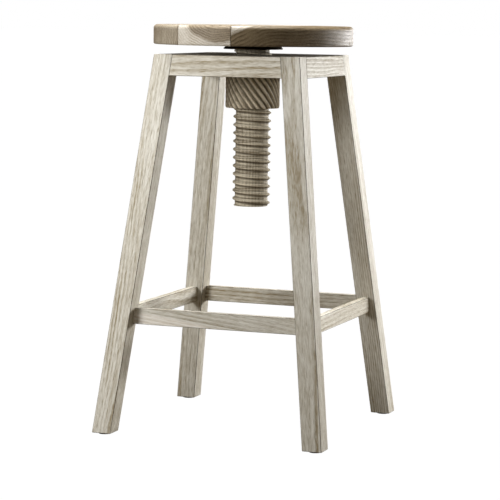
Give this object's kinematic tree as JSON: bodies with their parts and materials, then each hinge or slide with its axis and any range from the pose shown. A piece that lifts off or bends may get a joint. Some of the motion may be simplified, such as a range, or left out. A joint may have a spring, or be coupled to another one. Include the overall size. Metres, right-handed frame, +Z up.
{
  "type": "adjustable swivel stool",
  "caption": "Round wooden seat on a threaded wooden spindle that climbs through a fluted nut in a splayed square frame, for setting the seat height by turning it.",
  "frame": {"origin": "on the floor, under the screw's axis, at the middle of the four feet", "axes": "+Z up along the screw, -Y towards the front of the frame, +X to its right"},
  "size_m": [0.4218, 0.4218, 0.7112],
  "materials": {
    "frame_wood": "bleached, brushed grain, matt wax",
    "seat_wood": "weathered brown, sanded and waxed, paler at the top",
    "screw_wood": "dark turned hardwood, worn thread crests",
    "black_iron": "blackened, satin",
    "screw_steel": "plain zinc, dulled",
    "dowel_wood": "plain fluted beech",
    "glide_nylon": "brown moulded nylon"
  },
  "bodies": {
    "frame": {"apron_front": "frame_wood", "apron_left": "frame_wood", "apron_rear": "frame_wood", "apron_right": "frame_wood", "cleat_left": "frame_wood", "cleat_right": "frame_wood", "cleat_screw_1": "screw_steel", "cleat_screw_2": "screw_steel", "cleat_screw_3": "screw_steel", "cleat_screw_4": "screw_steel", "glide_front_left": "glide_nylon", "glide_front_right": "glide_nylon", "glide_rear_left": "glide_nylon", "glide_rear_right": "glide_nylon", "leg_front_left": "frame_wood", "leg_front_right": "frame_wood", "leg_rear_left": "frame_wood", "leg_rear_right": "frame_wood", "nut_screw_1": "screw_steel", "nut_screw_2": "screw_steel", "nut_screw_3": "screw_steel", "nut_screw_4": "screw_steel", "screw_nut": "screw_wood", "stretcher_front": "frame_wood", "stretcher_left": "frame_wood", "stretcher_rear": "frame_wood", "stretcher_right": "frame_wood", "top_board": "frame_wood"},
    "lift": {"centre_pin": "screw_steel"},
    "seat": {"plate_screw_1": "screw_steel", "plate_screw_2": "screw_steel", "plate_screw_3": "screw_steel", "plate_screw_4": "screw_steel", "plate_screw_5": "screw_steel", "plate_screw_6": "screw_steel", "seat_board_left": "seat_wood", "seat_board_middle": "seat_wood", "seat_board_right": "seat_wood", "seat_dowel_1": "dowel_wood", "seat_dowel_2": "dowel_wood", "seat_dowel_3": "dowel_wood", "seat_dowel_4": "dowel_wood", "seat_dowel_5": "dowel_wood", "seat_dowel_6": "dowel_wood", "seat_plate": "black_iron", "spindle": "screw_wood", "spindle_screw_1": "screw_steel", "spindle_screw_2": "screw_steel", "spindle_screw_3": "screw_steel", "spindle_screw_4": "screw_steel"}
  },
  "joints": [
    {"name": "seat_lift", "type": "slide", "parent": "frame", "child": "lift", "axis": [0, 0, 1], "range_m": [-0.008, 0.15]},
    {"name": "seat_turn", "type": "hinge", "parent": "lift", "child": "seat", "pos_m": [0, 0, 0.6764], "axis": [0, 0, 1], "range_deg": [-3720, 198]}
  ],
  "couplings": [
    {"joint": "seat_lift", "follows": "seat_turn", "m_per_rad": -0.0023077}
  ]
}
